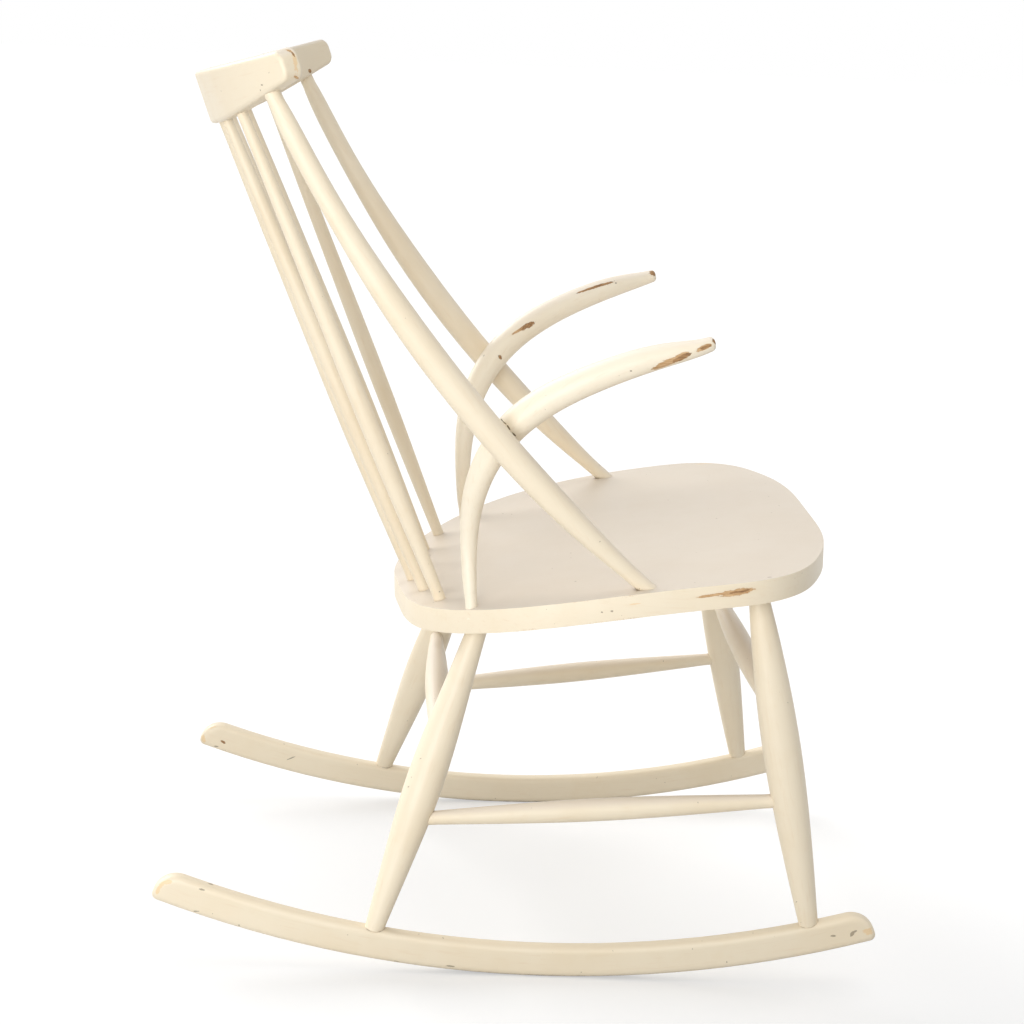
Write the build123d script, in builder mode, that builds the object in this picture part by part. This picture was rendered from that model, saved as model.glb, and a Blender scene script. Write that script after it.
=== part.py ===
from build123d import *

import os
from math import asin, cos, degrees, radians, sin, sqrt

# A low rocking chair of turned and bent beech, with six thin spindles between a solid seat and
# a short crest rail, two bowed uprights, and two bent arms that sweep forward past them.
# Millimetres. +X is the sitter's left, -Y is the front, +Z is up. The origin is on the floor,
# under the middle of the chair. Every joint is a round tenon glued in a bored blind socket.
# The pieces are drawn with the chair rocked a little forward, and are then rolled back on the
# runners to where the chair comes to rest by itself.

# Joinery
glue_gap = 0.05  # all round a tenon in its socket
mouth_collar = 10.0  # plain length of a rod outside the face that it enters

# Runners: two bars sawn on concentric arcs
runner_radius = 1142.0  # of the underside
runner_depth = 32.5
runner_thickness = 18.0
runner_rest_y = -74.0  # where the underside touches a level floor, as drawn
rest_roll = 2.43  # degrees that the chair rolls back from there to its balance
runner_toe_out = 1.66  # degrees, wider at the front
runner_rear_angle = 23.1  # from the point of rest to each end
runner_front_angle = 15.25
runner_nose_top = 24.5  # radii of the rounded ends
runner_nose_bottom = 6.5
runner_edge = 2.5

# Legs: the foot stands on the runner, the head goes into the underside of the seat
rear_foot_x = 231.0
rear_foot_y = 145.0
rear_head_x = 163.0
rear_head_y = 32.5
front_foot_y = -303.5
front_head_x = 217.0
front_head_y = -245.0
leg_foot_tenon = 12.0  # diameter
leg_foot_tenon_length = 15.0
leg_head_tenon_length = 14.0
rear_leg_turning = ((0.0, 20.0), (0.22, 30.6), (0.49, 39.0), (0.76, 31.2), (1.0, 21.0))
front_leg_turning = ((0.0, 20.0), (0.24, 31.8), (0.54, 39.0), (0.82, 31.8), (1.0, 21.0))

# Stretchers, by the height at which each meets the axis of a leg
side_stretcher_rear_z = 163.4
side_stretcher_front_z = 188.4
rear_stretcher_z = 239.4
front_stretcher_z = 276.4
stretcher_stop = 5.0  # how far a tenon ends short of the leg's axis
stretcher_mouth = 26.0  # plain length counted from the leg's axis
side_stretcher_turning = ((0.0, 14.5), (0.25, 20.5), (0.5, 23.6), (0.75, 20.5), (1.0, 14.5))
cross_stretcher_turning = ((0.0, 14.5), (0.25, 23.0), (0.5, 26.6), (0.75, 23.0), (1.0, 14.5))

# Seat: a slab with an arched top, a hollow inside the rim and rounded edges
seat_arch_radius = 1690.0
seat_crown_y = -365.0
seat_crown_z = 436.0
seat_thickness = 24.0
seat_rear_y = 122.0
seat_front_y = -332.0
seat_half_width = 266.0
seat_widest_y = -188.0
seat_rear_bend = ((0.532, 30.0), (0.835, 107.5), (0.929, 166.0))  # share of half width, from rear
seat_front_bend = ((0.979, 82.0), (0.888, 48.0), (0.73, 24.5), (0.555, 9.5))  # and from front
seat_top_edge = 8.0
seat_bottom_edge = 9.0
seat_hollow_depth = 5.0
seat_hollow_half_width = 222.0
seat_hollow_half_length = 180.0
seat_hollow_y = -125.0

# Crest rail: a board bent to an arc, leaning back
crest_tilt = 17.2  # degrees
crest_bend_radius = 466.0  # at mid thickness
crest_offset = 25.8  # of mid thickness behind the tilted plane through the origin
crest_thickness = 21.5
crest_bottom = 911.5  # measured up the tilted plane
crest_height = 54.0  # of the board, at the middle
crest_crown = 6.5  # how far the upper edge falls to each end
crest_flat_half = 95.0  # the straight middle of the lower edge
crest_rise = 22.0  # how far the lower edge rises to the end of the board
crest_half_width = 303.0
crest_corner = 11.0
crest_edge = 4.0

# Uprights: bowed rods from the seat's sides to the crest
upright_base_x = 244.5
upright_base_y = -129.7
upright_waist = (246.5, 48.5, 609.2)  # a point on the bow
upright_top_x = 258.0
upright_seat_tenon = 17.0
upright_collar = 12.0  # its slanting entry into the seat is longer
upright_crest_tenon = 18.0
upright_turning = (
    (0.0, 16.0),
    (0.12, 22.6),
    (0.28, 28.2),
    (0.43, 29.0),
    (0.58, 28.0),
    (0.70, 24.6),
    (0.82, 21.0),
    (1.0, 15.5),
)

# Spindles, from the middle pair outwards
spindle_bases = ((27.0, 103.0), (81.0, 90.5), (134.5, 74.0))
spindle_top_pitch = 72.0
spindle_top_ahead = 2.0  # of the crest's mid thickness
spindle_seat_tenon = 13.0
spindle_crest_tenon = 18.0
spindle_turning = ((0.0, 12.5), (0.16, 16.0), (0.36, 18.4), (0.62, 16.2), (0.8, 14.2), (1.0, 11.0))

# Arms: bent rods that rise from the seat, lap the uprights and end in a free tip
arm_base_x = 187.0
arm_base_y = 43.0
arm_bends = (
    (184.5, 42.0, 484.0),
    (203.0, 29.0, 534.0),
    (216.5, 5.0, 573.5),
    (229.0, -28.0, 603.0),
    (242.0, -83.0, 632.5),
    (251.0, -130.0, 649.0),
)
arm_tip = (254.5, -190.0, 665.5)
arm_seat_tenon = 14.0
arm_turning = (
    (0.0, 12.5),
    (0.10, 16.5),
    (0.22, 21.5),
    (0.38, 28.0),
    (0.48, 30.5),
    (0.62, 30.0),
    (0.78, 27.0),
    (0.90, 22.0),
    (1.0, 14.0),
)
arm_tip_edge = 5.0

os.makedirs("parts", exist_ok=True)


class Rod:
    """The axis of a straight rod: its two shoulders, and the tips of the tenons beyond them."""

    def __init__(self, foot, head, foot_tenon, head_tenon):
        self.foot = Vector(*foot)
        self.head = Vector(*head)
        self.direction = (self.head - self.foot).normalized()
        self.foot_tip = self.foot - self.direction * foot_tenon
        self.head_tip = self.head + self.direction * head_tenon

    def at_height(self, z):
        """The point of the axis at a height."""
        return self.foot + self.direction * ((z - self.foot.Z) / self.direction.Z)


def finish(piece, label):
    """Roll a finished piece back to the chair's balance, set it about the origin, and write it."""
    rolled = piece.part.rotate(Axis((0, runner_rest_y, runner_radius), (1, 0, 0)), -rest_roll)
    rear_tip = runner_rest_y + runner_radius * sin(radians(runner_rear_angle - rest_roll))
    front_tip = runner_rest_y - runner_radius * sin(radians(runner_front_angle + rest_roll))
    placed = rolled.translate((0, -(rear_tip + front_tip) / 2, 0))
    placed.label = label
    export_step(placed, f"parts/{label}.step")


def turned(start, end, turning, start_collar, end_collar):
    """A straight turned rod, plain for a collar at each end and shaped in between."""
    length = (end - start).length
    direction = (end - start).normalized()
    shaped = length - start_collar - end_collar
    stations = [(start_collar + share * shaped, width / 2) for share, width in turning]
    lengthwise = Plane(origin=start, x_dir=direction, z_dir=direction.cross(Vector(0, 0.3, 1)))
    with BuildPart() as rod:
        with BuildSketch(lengthwise):
            with BuildLine():
                Spline(*stations)
                Polyline(stations[-1], (length, stations[-1][1]), (length, 0), (0, 0))
                Polyline((0, 0), (0, stations[0][1]), stations[0])
            make_face()
        revolve(axis=Axis(start, direction))
    return rod


def bent(path, turning):
    """A round rod of changing thickness along a bent path."""
    with BuildPart() as rod:
        for share, width in turning:
            middle = path.position_at(share)
            with BuildSketch(Plane(origin=middle, x_dir=(1, 0, 0), z_dir=path.tangent_at(share))):
                Circle(width / 2)
        loft()
    return rod


def add_tenon(tip, neck, width):
    """Add a plain round tenon to the rod being made, from its tip to the rod's neck."""
    with BuildSketch(Plane(origin=tip, z_dir=neck - tip)) as section:
        Circle(width / 2)
    extrude(section.sketch, amount=(neck - tip).length)


def bore_socket(tip, mouth, width):
    """Bore a blind socket in the piece being made, from a tenon's tip out through the mouth."""
    with BuildSketch(Plane(origin=tip, z_dir=mouth - tip)) as section:
        Circle(width / 2 + glue_gap)
    extrude(section.sketch, amount=(mouth - tip).length, mode=Mode.SUBTRACT)


def bore_foot(rod, width):
    """Bore the socket for the foot of a straight rod."""
    bore_socket(rod.foot_tip, rod.foot + rod.direction * mouth_collar, width)


def bore_head(rod, width):
    """Bore the socket for the head of a straight rod."""
    bore_socket(rod.head_tip, rod.head - rod.direction * mouth_collar, width)


def runner_x(y):
    """Where the middle of the left runner is, at a distance along the chair."""
    return rear_foot_x + (rear_foot_y - y) * sin(radians(runner_toe_out))


def runner_plane(side):
    """The upright plane of a runner, with its first axis backwards and its second up."""
    toe = radians(runner_toe_out)
    return Plane(
        origin=(side * runner_x(runner_rest_y), runner_rest_y, 0),
        x_dir=(-side * sin(toe), cos(toe), 0),
        z_dir=(cos(toe), side * sin(toe), 0),
    )


def runner_top_z(y):
    """Height of the upper edge of a runner."""
    top_radius = runner_radius - runner_depth
    return runner_radius - sqrt(top_radius**2 - (y - runner_rest_y) ** 2)


def seat_z(y, below=0.0):
    """Height of the arched seat's rim, or of a face some distance under it."""
    radius = seat_arch_radius - below
    return seat_crown_z - seat_arch_radius + sqrt(radius**2 - (y - seat_crown_y) ** 2)


def crest_axes():
    """The directions up and back of the tilted crest."""
    tilt = radians(crest_tilt)
    return Vector(0, sin(tilt), cos(tilt)), Vector(0, cos(tilt), -sin(tilt))


def crest_lift(x):
    """How far the crest's lower edge has risen, on an arc, at a distance from the middle."""
    run = crest_half_width - crest_flat_half
    radius = (run**2 + crest_rise**2) / (2 * crest_rise)
    return radius - sqrt(radius**2 - max(0.0, abs(x) - crest_flat_half) ** 2)


def crest_fall(x):
    """How far the crest's upper edge has fallen, on an arc, at a distance from the middle."""
    radius = (crest_half_width**2 + crest_crown**2) / (2 * crest_crown)
    return radius - sqrt(radius**2 - x**2)


def crest_mouth(x, ahead=0.0):
    """The point of the crest's lower edge near mid thickness, at a distance from the middle."""
    up, back = crest_axes()
    height = crest_bottom + crest_lift(x)
    depth = crest_offset - ahead - crest_bend_radius + sqrt(crest_bend_radius**2 - x**2)
    return Vector(x, 0, 0) + back * depth + up * height


def rear_leg(side):
    """The axis of a rear leg, from the top of its runner to the underside of the seat."""
    foot = (side * rear_foot_x, rear_foot_y, runner_top_z(rear_foot_y))
    head = (side * rear_head_x, rear_head_y, seat_z(rear_head_y, seat_thickness))
    return Rod(foot, head, leg_foot_tenon_length, leg_head_tenon_length)


def front_leg(side):
    """The axis of a front leg, from the top of its runner to the underside of the seat."""
    foot = (side * runner_x(front_foot_y), front_foot_y, runner_top_z(front_foot_y))
    head = (side * front_head_x, front_head_y, seat_z(front_head_y, seat_thickness))
    return Rod(foot, head, leg_foot_tenon_length, leg_head_tenon_length)


def side_stretcher(side):
    """The axis of a side stretcher, from the rear leg to the front leg."""
    start = rear_leg(side).at_height(side_stretcher_rear_z)
    end = front_leg(side).at_height(side_stretcher_front_z)
    return Rod(start, end, -stretcher_stop, -stretcher_stop)


def cross_stretcher(leg, height):
    """The axis of a stretcher across the chair, between the two legs of a pair."""
    return Rod(leg(-1).at_height(height), leg(1).at_height(height), -stretcher_stop, -stretcher_stop)


def spindle(side, place):
    """The axis of a spindle, from the top of the seat to the lower edge of the crest."""
    base_x, base_y = spindle_bases[place]
    head = crest_mouth(side * spindle_top_pitch * (place + 0.5), spindle_top_ahead)
    return Rod((side * base_x, base_y, seat_z(base_y)), head, spindle_seat_tenon, spindle_crest_tenon)


def upright_neck(side, at_crest):
    """Where a bowed upright turns plain near the seat or the crest, and that tenon's tip."""
    bow = upright_bow(side)
    if at_crest:
        share = 1 - mouth_collar / bow.length
        reach = mouth_collar + upright_crest_tenon
    else:
        share = upright_collar / bow.length
        reach = -upright_collar - upright_seat_tenon
    neck = bow.position_at(share)
    return share, neck, neck + bow.tangent_at(share) * reach


def upright_bow(side):
    """The bow of an upright, from the top of the seat to the lower edge of the crest."""
    waist_x, waist_y, waist_z = upright_waist
    base = (side * upright_base_x, upright_base_y, seat_z(upright_base_y))
    waist = (side * waist_x, waist_y, waist_z)
    return Edge.make_three_point_arc(base, waist, crest_mouth(side * upright_top_x))


def arm_bend(side):
    """The middle line of an arm, from its neck over the seat to its free tip."""
    neck = Vector(side * arm_base_x, arm_base_y, seat_z(arm_base_y) + mouth_collar)
    bends = [Vector(side * x, y, z) for x, y, z in (*arm_bends, arm_tip)]
    return Edge.make_spline([neck, *bends])


def arm_neck(side):
    """Where an arm turns plain over the seat, and the tip of its tenon."""
    bend = arm_bend(side)
    neck = bend.position_at(0)
    return neck, neck - bend.tangent_at(0) * (mouth_collar + arm_seat_tenon)


def make_seat():
    """The seat: an outline cut through an arched slab, rounded, hollowed and bored."""
    left = [(share * seat_half_width, seat_rear_y - back) for share, back in seat_rear_bend]
    left.append((seat_half_width, seat_widest_y))
    left += [(share * seat_half_width, seat_front_y + ahead) for share, ahead in seat_front_bend]
    right = [(-x, y) for x, y in reversed(left)]
    with BuildPart() as seat:
        with BuildSketch():
            with BuildLine():
                Spline((0, seat_rear_y), *left, (0, seat_front_y), *right, periodic=True)
            make_face()
        extrude(amount=seat_crown_z)
        with BuildSketch(Plane.YZ) as arch:
            with Locations((seat_crown_y, seat_crown_z - seat_arch_radius)):
                Circle(seat_arch_radius)
                Circle(seat_arch_radius - seat_thickness, mode=Mode.SUBTRACT)
        extrude(arch.sketch, amount=2 * seat_half_width, both=True, mode=Mode.INTERSECT)
        fillet(seat.faces().sort_by(SortBy.AREA)[-2:].sort_by(Axis.Z)[-1].edges(), seat_top_edge)
        fillet(seat.faces().sort_by(SortBy.AREA)[-2:].sort_by(Axis.Z)[0].edges(), seat_bottom_edge)
        scoop_seat()
        for side in (-1, 1):
            bore_head(rear_leg(side), rear_leg_turning[-1][1])
            bore_head(front_leg(side), front_leg_turning[-1][1])
            for place in range(len(spindle_bases)):
                bore_foot(spindle(side, place), spindle_turning[0][1])
            _, neck, tip = upright_neck(side, at_crest=False)
            bore_socket(tip, neck, upright_turning[0][1])
            neck, tip = arm_neck(side)
            bore_socket(tip, neck, arm_turning[0][1])
    return seat


def scoop_seat():
    """Hollow the seat being made: a slack arc across it, swung about a level axle far below."""
    across_radius = seat_hollow_half_width**2 / (2 * seat_hollow_depth)
    swing_bend = 1 / seat_arch_radius - 2 * seat_hollow_depth / seat_hollow_half_length**2
    swing_radius = 1 / swing_bend
    lean = asin((seat_hollow_y - seat_crown_y) / seat_arch_radius)
    floor_z = seat_z(seat_hollow_y) - seat_hollow_depth
    axle = (0, seat_hollow_y - swing_radius * sin(lean), floor_z - swing_radius * cos(lean))
    swing = 2.2 * seat_hollow_half_length / swing_radius
    start = lean + swing / 2
    with BuildSketch(Plane(origin=axle, x_dir=(1, 0, 0), z_dir=(0, -cos(start), sin(start)))) as slack:
        with Locations((0, swing_radius)):
            Rectangle(3 * seat_hollow_half_width, 4 * seat_hollow_depth)
        with Locations((0, swing_radius + across_radius)):
            Circle(across_radius, mode=Mode.INTERSECT)
    revolve(slack.sketch, Axis(axle, (1, 0, 0)), degrees(swing), mode=Mode.SUBTRACT)


def make_runner(side):
    """A runner: a bar between two arcs, with rounded ends and eased edges, bored for two legs."""
    top_radius = runner_radius - runner_depth
    rear, front = radians(runner_rear_angle), -radians(runner_front_angle)

    def rim(radius, angle):
        return (radius * sin(angle), runner_radius - radius * cos(angle))

    with BuildPart() as runner:
        with BuildSketch(runner_plane(side)) as profile:
            with BuildLine():
                ThreePointArc(rim(runner_radius, front), (0, 0), rim(runner_radius, rear))
                Line(rim(runner_radius, rear), rim(top_radius, rear))
                ThreePointArc(rim(top_radius, rear), (0, runner_depth), rim(top_radius, front))
                Line(rim(top_radius, front), rim(runner_radius, front))
            make_face()
            front_low, front_high, rear_high, rear_low = profile.vertices().sort_by(Axis.X)
            fillet([front_high, rear_high], runner_nose_top)
            front_low, *_, rear_low = profile.vertices().sort_by(Axis.Y).sort_by(Axis.X)
            fillet([front_low, rear_low], runner_nose_bottom)
        extrude(amount=runner_thickness / 2, both=True)
        flanks = runner.faces().sort_by(SortBy.AREA)[-4:].filter_by(GeomType.PLANE)
        fillet(flanks.edges(), runner_edge)
        bore_foot(rear_leg(side), leg_foot_tenon)
        bore_foot(front_leg(side), leg_foot_tenon)
    return runner


def make_leg(side, rod, turning, stretcher_ends):
    """A turned leg, coped over its runner, with a tenon at each end and sockets at its side."""
    cope = runner_depth / 2
    blank = turned(
        rod.foot - rod.direction * cope,
        rod.head_tip,
        turning,
        cope,
        leg_head_tenon_length + mouth_collar,
    )
    with BuildPart() as leg:
        add(blank)
        with BuildSketch(runner_plane(side)) as under_foot:
            with Locations((0, runner_radius)):
                Circle(runner_radius + runner_depth)
                Circle(runner_radius - runner_depth, mode=Mode.SUBTRACT)
        extrude(under_foot.sketch, amount=2 * runner_thickness, both=True, mode=Mode.SUBTRACT)
        add_tenon(rod.foot_tip, rod.foot + rod.direction * mouth_collar, leg_foot_tenon)
        for tip, outward, width in stretcher_ends:
            bore_socket(tip, tip + outward * (stretcher_mouth - stretcher_stop), width)
    return leg


def make_upright(side, arm):
    """A bowed upright with a tenon at each end, notched where the arm laps it."""
    low_share, low_neck, low_tip = upright_neck(side, at_crest=False)
    high_share, high_neck, high_tip = upright_neck(side, at_crest=True)
    span = high_share - low_share
    stations = [(low_share + share * span, width) for share, width in upright_turning]
    blank = bent(upright_bow(side), stations)
    with BuildPart() as upright:
        add(blank)
        add_tenon(low_tip, low_neck, upright_turning[0][1])
        add_tenon(high_tip, high_neck, upright_turning[-1][1])
        add(arm, mode=Mode.SUBTRACT)
    return upright


def make_arm(side):
    """A bent arm with a tenon for the seat and a rounded free tip."""
    neck, tip = arm_neck(side)
    blank = bent(arm_bend(side), arm_turning)
    with BuildPart() as arm:
        add(blank)
        fillet(arm.faces().sort_by(Axis.Y)[0].edges(), arm_tip_edge)
        add_tenon(tip, neck, arm_turning[0][1])
    return arm


def make_crest():
    """The crest rail: a bent, tilted board, arched above and below, with rounded ends."""
    up, back = crest_axes()
    outer = crest_bend_radius + crest_thickness / 2
    inner = crest_bend_radius - crest_thickness / 2
    spread = asin(crest_half_width / outer)
    centre = crest_offset - crest_bend_radius
    past_end = crest_half_width + crest_corner
    mid_lift = (crest_flat_half + past_end) / 2

    def rim(radius, angle):
        return (radius * sin(angle), centre + radius * cos(angle))

    with BuildPart() as crest:
        with BuildSketch(Plane(origin=up * (crest_bottom - crest_crown), x_dir=(1, 0, 0), z_dir=up)):
            with BuildLine():
                ThreePointArc(rim(outer, -spread), rim(outer, 0), rim(outer, spread))
                Line(rim(outer, spread), rim(inner, spread))
                ThreePointArc(rim(inner, spread), rim(inner, 0), rim(inner, -spread))
                Line(rim(inner, -spread), rim(outer, -spread))
            make_face()
        extrude(amount=crest_height + 2 * crest_crown)
        board_front = Plane(origin=up * crest_bottom + back * 2 * crest_offset, x_dir=(1, 0, 0), z_dir=-back)
        with BuildSketch(board_front) as outline:
            with BuildLine():
                above = crest_height - crest_fall(past_end)
                ThreePointArc((-past_end, above), (0, crest_height), (past_end, above))
                for side in (-1, 1):
                    end = (side * past_end, crest_lift(past_end))
                    Line((side * past_end, above), end)
                    middle = (side * mid_lift, crest_lift(mid_lift))
                    ThreePointArc(end, middle, (side * crest_flat_half, 0))
                Line((-crest_flat_half, 0), (crest_flat_half, 0))
            make_face()
        extrude(outline.sketch, amount=crest_bend_radius, mode=Mode.INTERSECT)
        ends = crest.edges().filter_by(lambda edge: abs(edge.center().X) > crest_half_width - crest_thickness)
        fillet(ends.filter_by(lambda edge: abs((edge @ 1 - edge @ 0).dot(up)) < crest_corner), crest_corner)
        fillet(crest.faces().sort_by(SortBy.AREA)[-2:].edges(), crest_edge)
        for side in (-1, 1):
            for place in range(len(spindle_bases)):
                bore_head(spindle(side, place), spindle_turning[-1][1])
            _, neck, tip = upright_neck(side, at_crest=True)
            bore_socket(tip, neck, upright_turning[-1][1])
    return crest


rear_cross = cross_stretcher(rear_leg, rear_stretcher_z)
front_cross = cross_stretcher(front_leg, front_stretcher_z)
cross_width = cross_stretcher_turning[0][1]
side_width = side_stretcher_turning[0][1]
stretcher_collar = stretcher_mouth - stretcher_stop

finish(make_seat(), "seat")
finish(make_crest(), "crest_rail")
for cross, label in ((rear_cross, "rear_stretcher"), (front_cross, "front_stretcher")):
    rod = turned(cross.foot_tip, cross.head_tip, cross_stretcher_turning, stretcher_collar, stretcher_collar)
    finish(rod, label)

for side, word in ((1, "left"), (-1, "right")):
    beside = side_stretcher(side)
    rear_cross_tip = rear_cross.head_tip if side > 0 else rear_cross.foot_tip
    front_cross_tip = front_cross.head_tip if side > 0 else front_cross.foot_tip
    rear_ends = (
        (beside.foot_tip, beside.direction, side_width),
        (rear_cross_tip, rear_cross.direction * -side, cross_width),
    )
    front_ends = (
        (beside.head_tip, beside.direction * -1, side_width),
        (front_cross_tip, front_cross.direction * -side, cross_width),
    )
    finish(make_runner(side), f"runner_{word}")
    finish(make_leg(side, rear_leg(side), rear_leg_turning, rear_ends), f"rear_leg_{word}")
    finish(make_leg(side, front_leg(side), front_leg_turning, front_ends), f"front_leg_{word}")
    rod = turned(beside.foot_tip, beside.head_tip, side_stretcher_turning, stretcher_collar, stretcher_collar)
    finish(rod, f"side_stretcher_{word}")
    arm = make_arm(side)
    finish(arm, f"arm_{word}")
    finish(make_upright(side, arm.part), f"upright_{word}")

for number, (side, place) in enumerate(((1, 2), (1, 1), (1, 0), (-1, 0), (-1, 1), (-1, 2)), start=1):
    thin = spindle(side, place)
    foot_collar = spindle_seat_tenon + mouth_collar
    head_collar = spindle_crest_tenon + mouth_collar
    rod = turned(thin.foot_tip, thin.head_tip, spindle_turning, foot_collar, head_collar)
    finish(rod, f"spindle_{number}")
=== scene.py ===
"""The looks of a low spindle back rocking chair in old cream paint.

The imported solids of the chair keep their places. The back, the arms, the legs and the stretchers
are shown as they are packed. The seat and the two runners are shown by pieces with other edges,
which are built here. Each piece gets its paint, with the wear of long use, and the floor, the
lamps and the camera are set round the chair. Lengths are in metres, +X is the sitter's left, -Y is
the front and +Z is up.
"""

import logging
import math
from dataclasses import dataclass, replace
from enum import Enum

import bmesh
import bpy
import numpy as np
from mathutils import Matrix, Vector
from mathutils.geometry import convex_hull_2d


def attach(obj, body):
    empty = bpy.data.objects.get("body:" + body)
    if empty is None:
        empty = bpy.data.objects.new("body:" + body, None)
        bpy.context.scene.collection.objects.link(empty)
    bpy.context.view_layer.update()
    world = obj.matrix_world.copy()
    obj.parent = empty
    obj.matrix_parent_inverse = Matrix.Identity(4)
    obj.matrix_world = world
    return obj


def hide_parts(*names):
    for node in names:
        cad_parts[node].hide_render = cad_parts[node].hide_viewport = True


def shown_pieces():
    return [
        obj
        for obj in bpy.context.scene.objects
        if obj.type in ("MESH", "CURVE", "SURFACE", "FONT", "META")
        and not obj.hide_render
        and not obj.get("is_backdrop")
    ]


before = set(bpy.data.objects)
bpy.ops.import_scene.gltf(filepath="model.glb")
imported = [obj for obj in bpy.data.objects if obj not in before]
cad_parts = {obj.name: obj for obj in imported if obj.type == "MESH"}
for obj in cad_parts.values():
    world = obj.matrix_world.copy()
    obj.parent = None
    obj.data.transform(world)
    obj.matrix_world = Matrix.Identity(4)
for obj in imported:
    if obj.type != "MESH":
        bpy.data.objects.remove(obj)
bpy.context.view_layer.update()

log = logging.getLogger("rocking_chair")

Point = tuple[float, float, float]
Colour = tuple[float, float, float]
Socket = bpy.types.NodeSocket

MAIN_BODY = "root"
WHITE = (1.0, 1.0, 1.0)
WELD = 1e-6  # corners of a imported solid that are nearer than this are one
GRAIN_STRIDE = 7  # every seventh corner is enough to find how a piece runs
NO_MARK = 100.0  # how many of its own spans away a mark is where a piece has none

# The chair is drawn a little forward on its runners and is then rolled back about the middle of
# their arc, to its balance, and centred
RUNNER_ARC_MIDDLE = Vector((0.0, -0.074, 1.142))
REST_ROLL = math.radians(-2.43)
CENTRING = 0.04586
TO_REST = (
    Matrix.Translation((0.0, CENTRING, 0.0))
    @ Matrix.Translation(RUNNER_ARC_MIDDLE)
    @ Matrix.Rotation(REST_ROLL, 4, "X")
    @ Matrix.Translation(-RUNNER_ARC_MIDDLE)
)


class Side(Enum):
    """The two sides of the chair, as the sitter has them."""

    LEFT = "left"
    RIGHT = "right"


class Wear(Enum):
    """What a worn place shows, and how far its rim strays, as a share of its size."""

    THINNED = ("paint worn thin, with the wood showing through", 1.8)
    RUBBED = ("paint rubbed through to the pale wood", 1.0)
    KNOCKED = ("paint knocked off down to old dark wood", 1.3)
    NICK = ("a small dark dent in the paint", 0.9)
    SEAM = ("a fine open joint with old dirt in it", 0.1)

    @property
    def raggedness(self) -> float:
        """How far the rim strays."""
        return self.value[1]


@dataclass(frozen=True)
class Mark:
    """One worn place on a piece: an oval with a ragged rim, measured from its middle to its rim."""

    kind: Wear
    place: Point
    length: float
    width: float
    along: Point = (0.0, -1.0, 0.0)


@dataclass(frozen=True)
class Grain:
    """The way in which the brush and the fibres run on a piece.

    A straight piece has the direction `along`. A bent one has the axis that it is bent about, and
    the fibres then run round that axis.
    """

    place: Point
    along: Point
    bent: bool = False
    radius: float = 1.0


@dataclass(frozen=True)
class Pattern:
    """A noise: its features per metre, its octaves and how strong the finer ones are."""

    scale: float
    detail: float
    rough: float


@dataclass(frozen=True)
class Rise:
    """A smooth rise from 0 at `low` to `top` at `high`, or a fall where `high` is the smaller."""

    low: float
    high: float
    top: float = 1.0


def axes_along(direction: Point) -> Matrix:
    """Make a rotation whose X axis points along a direction.

    Args:
        direction: the direction, of any length.

    Returns:
        A 3 by 3 rotation.
    """
    return Vector(direction).to_track_quat("X", "Z").to_matrix()


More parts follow.
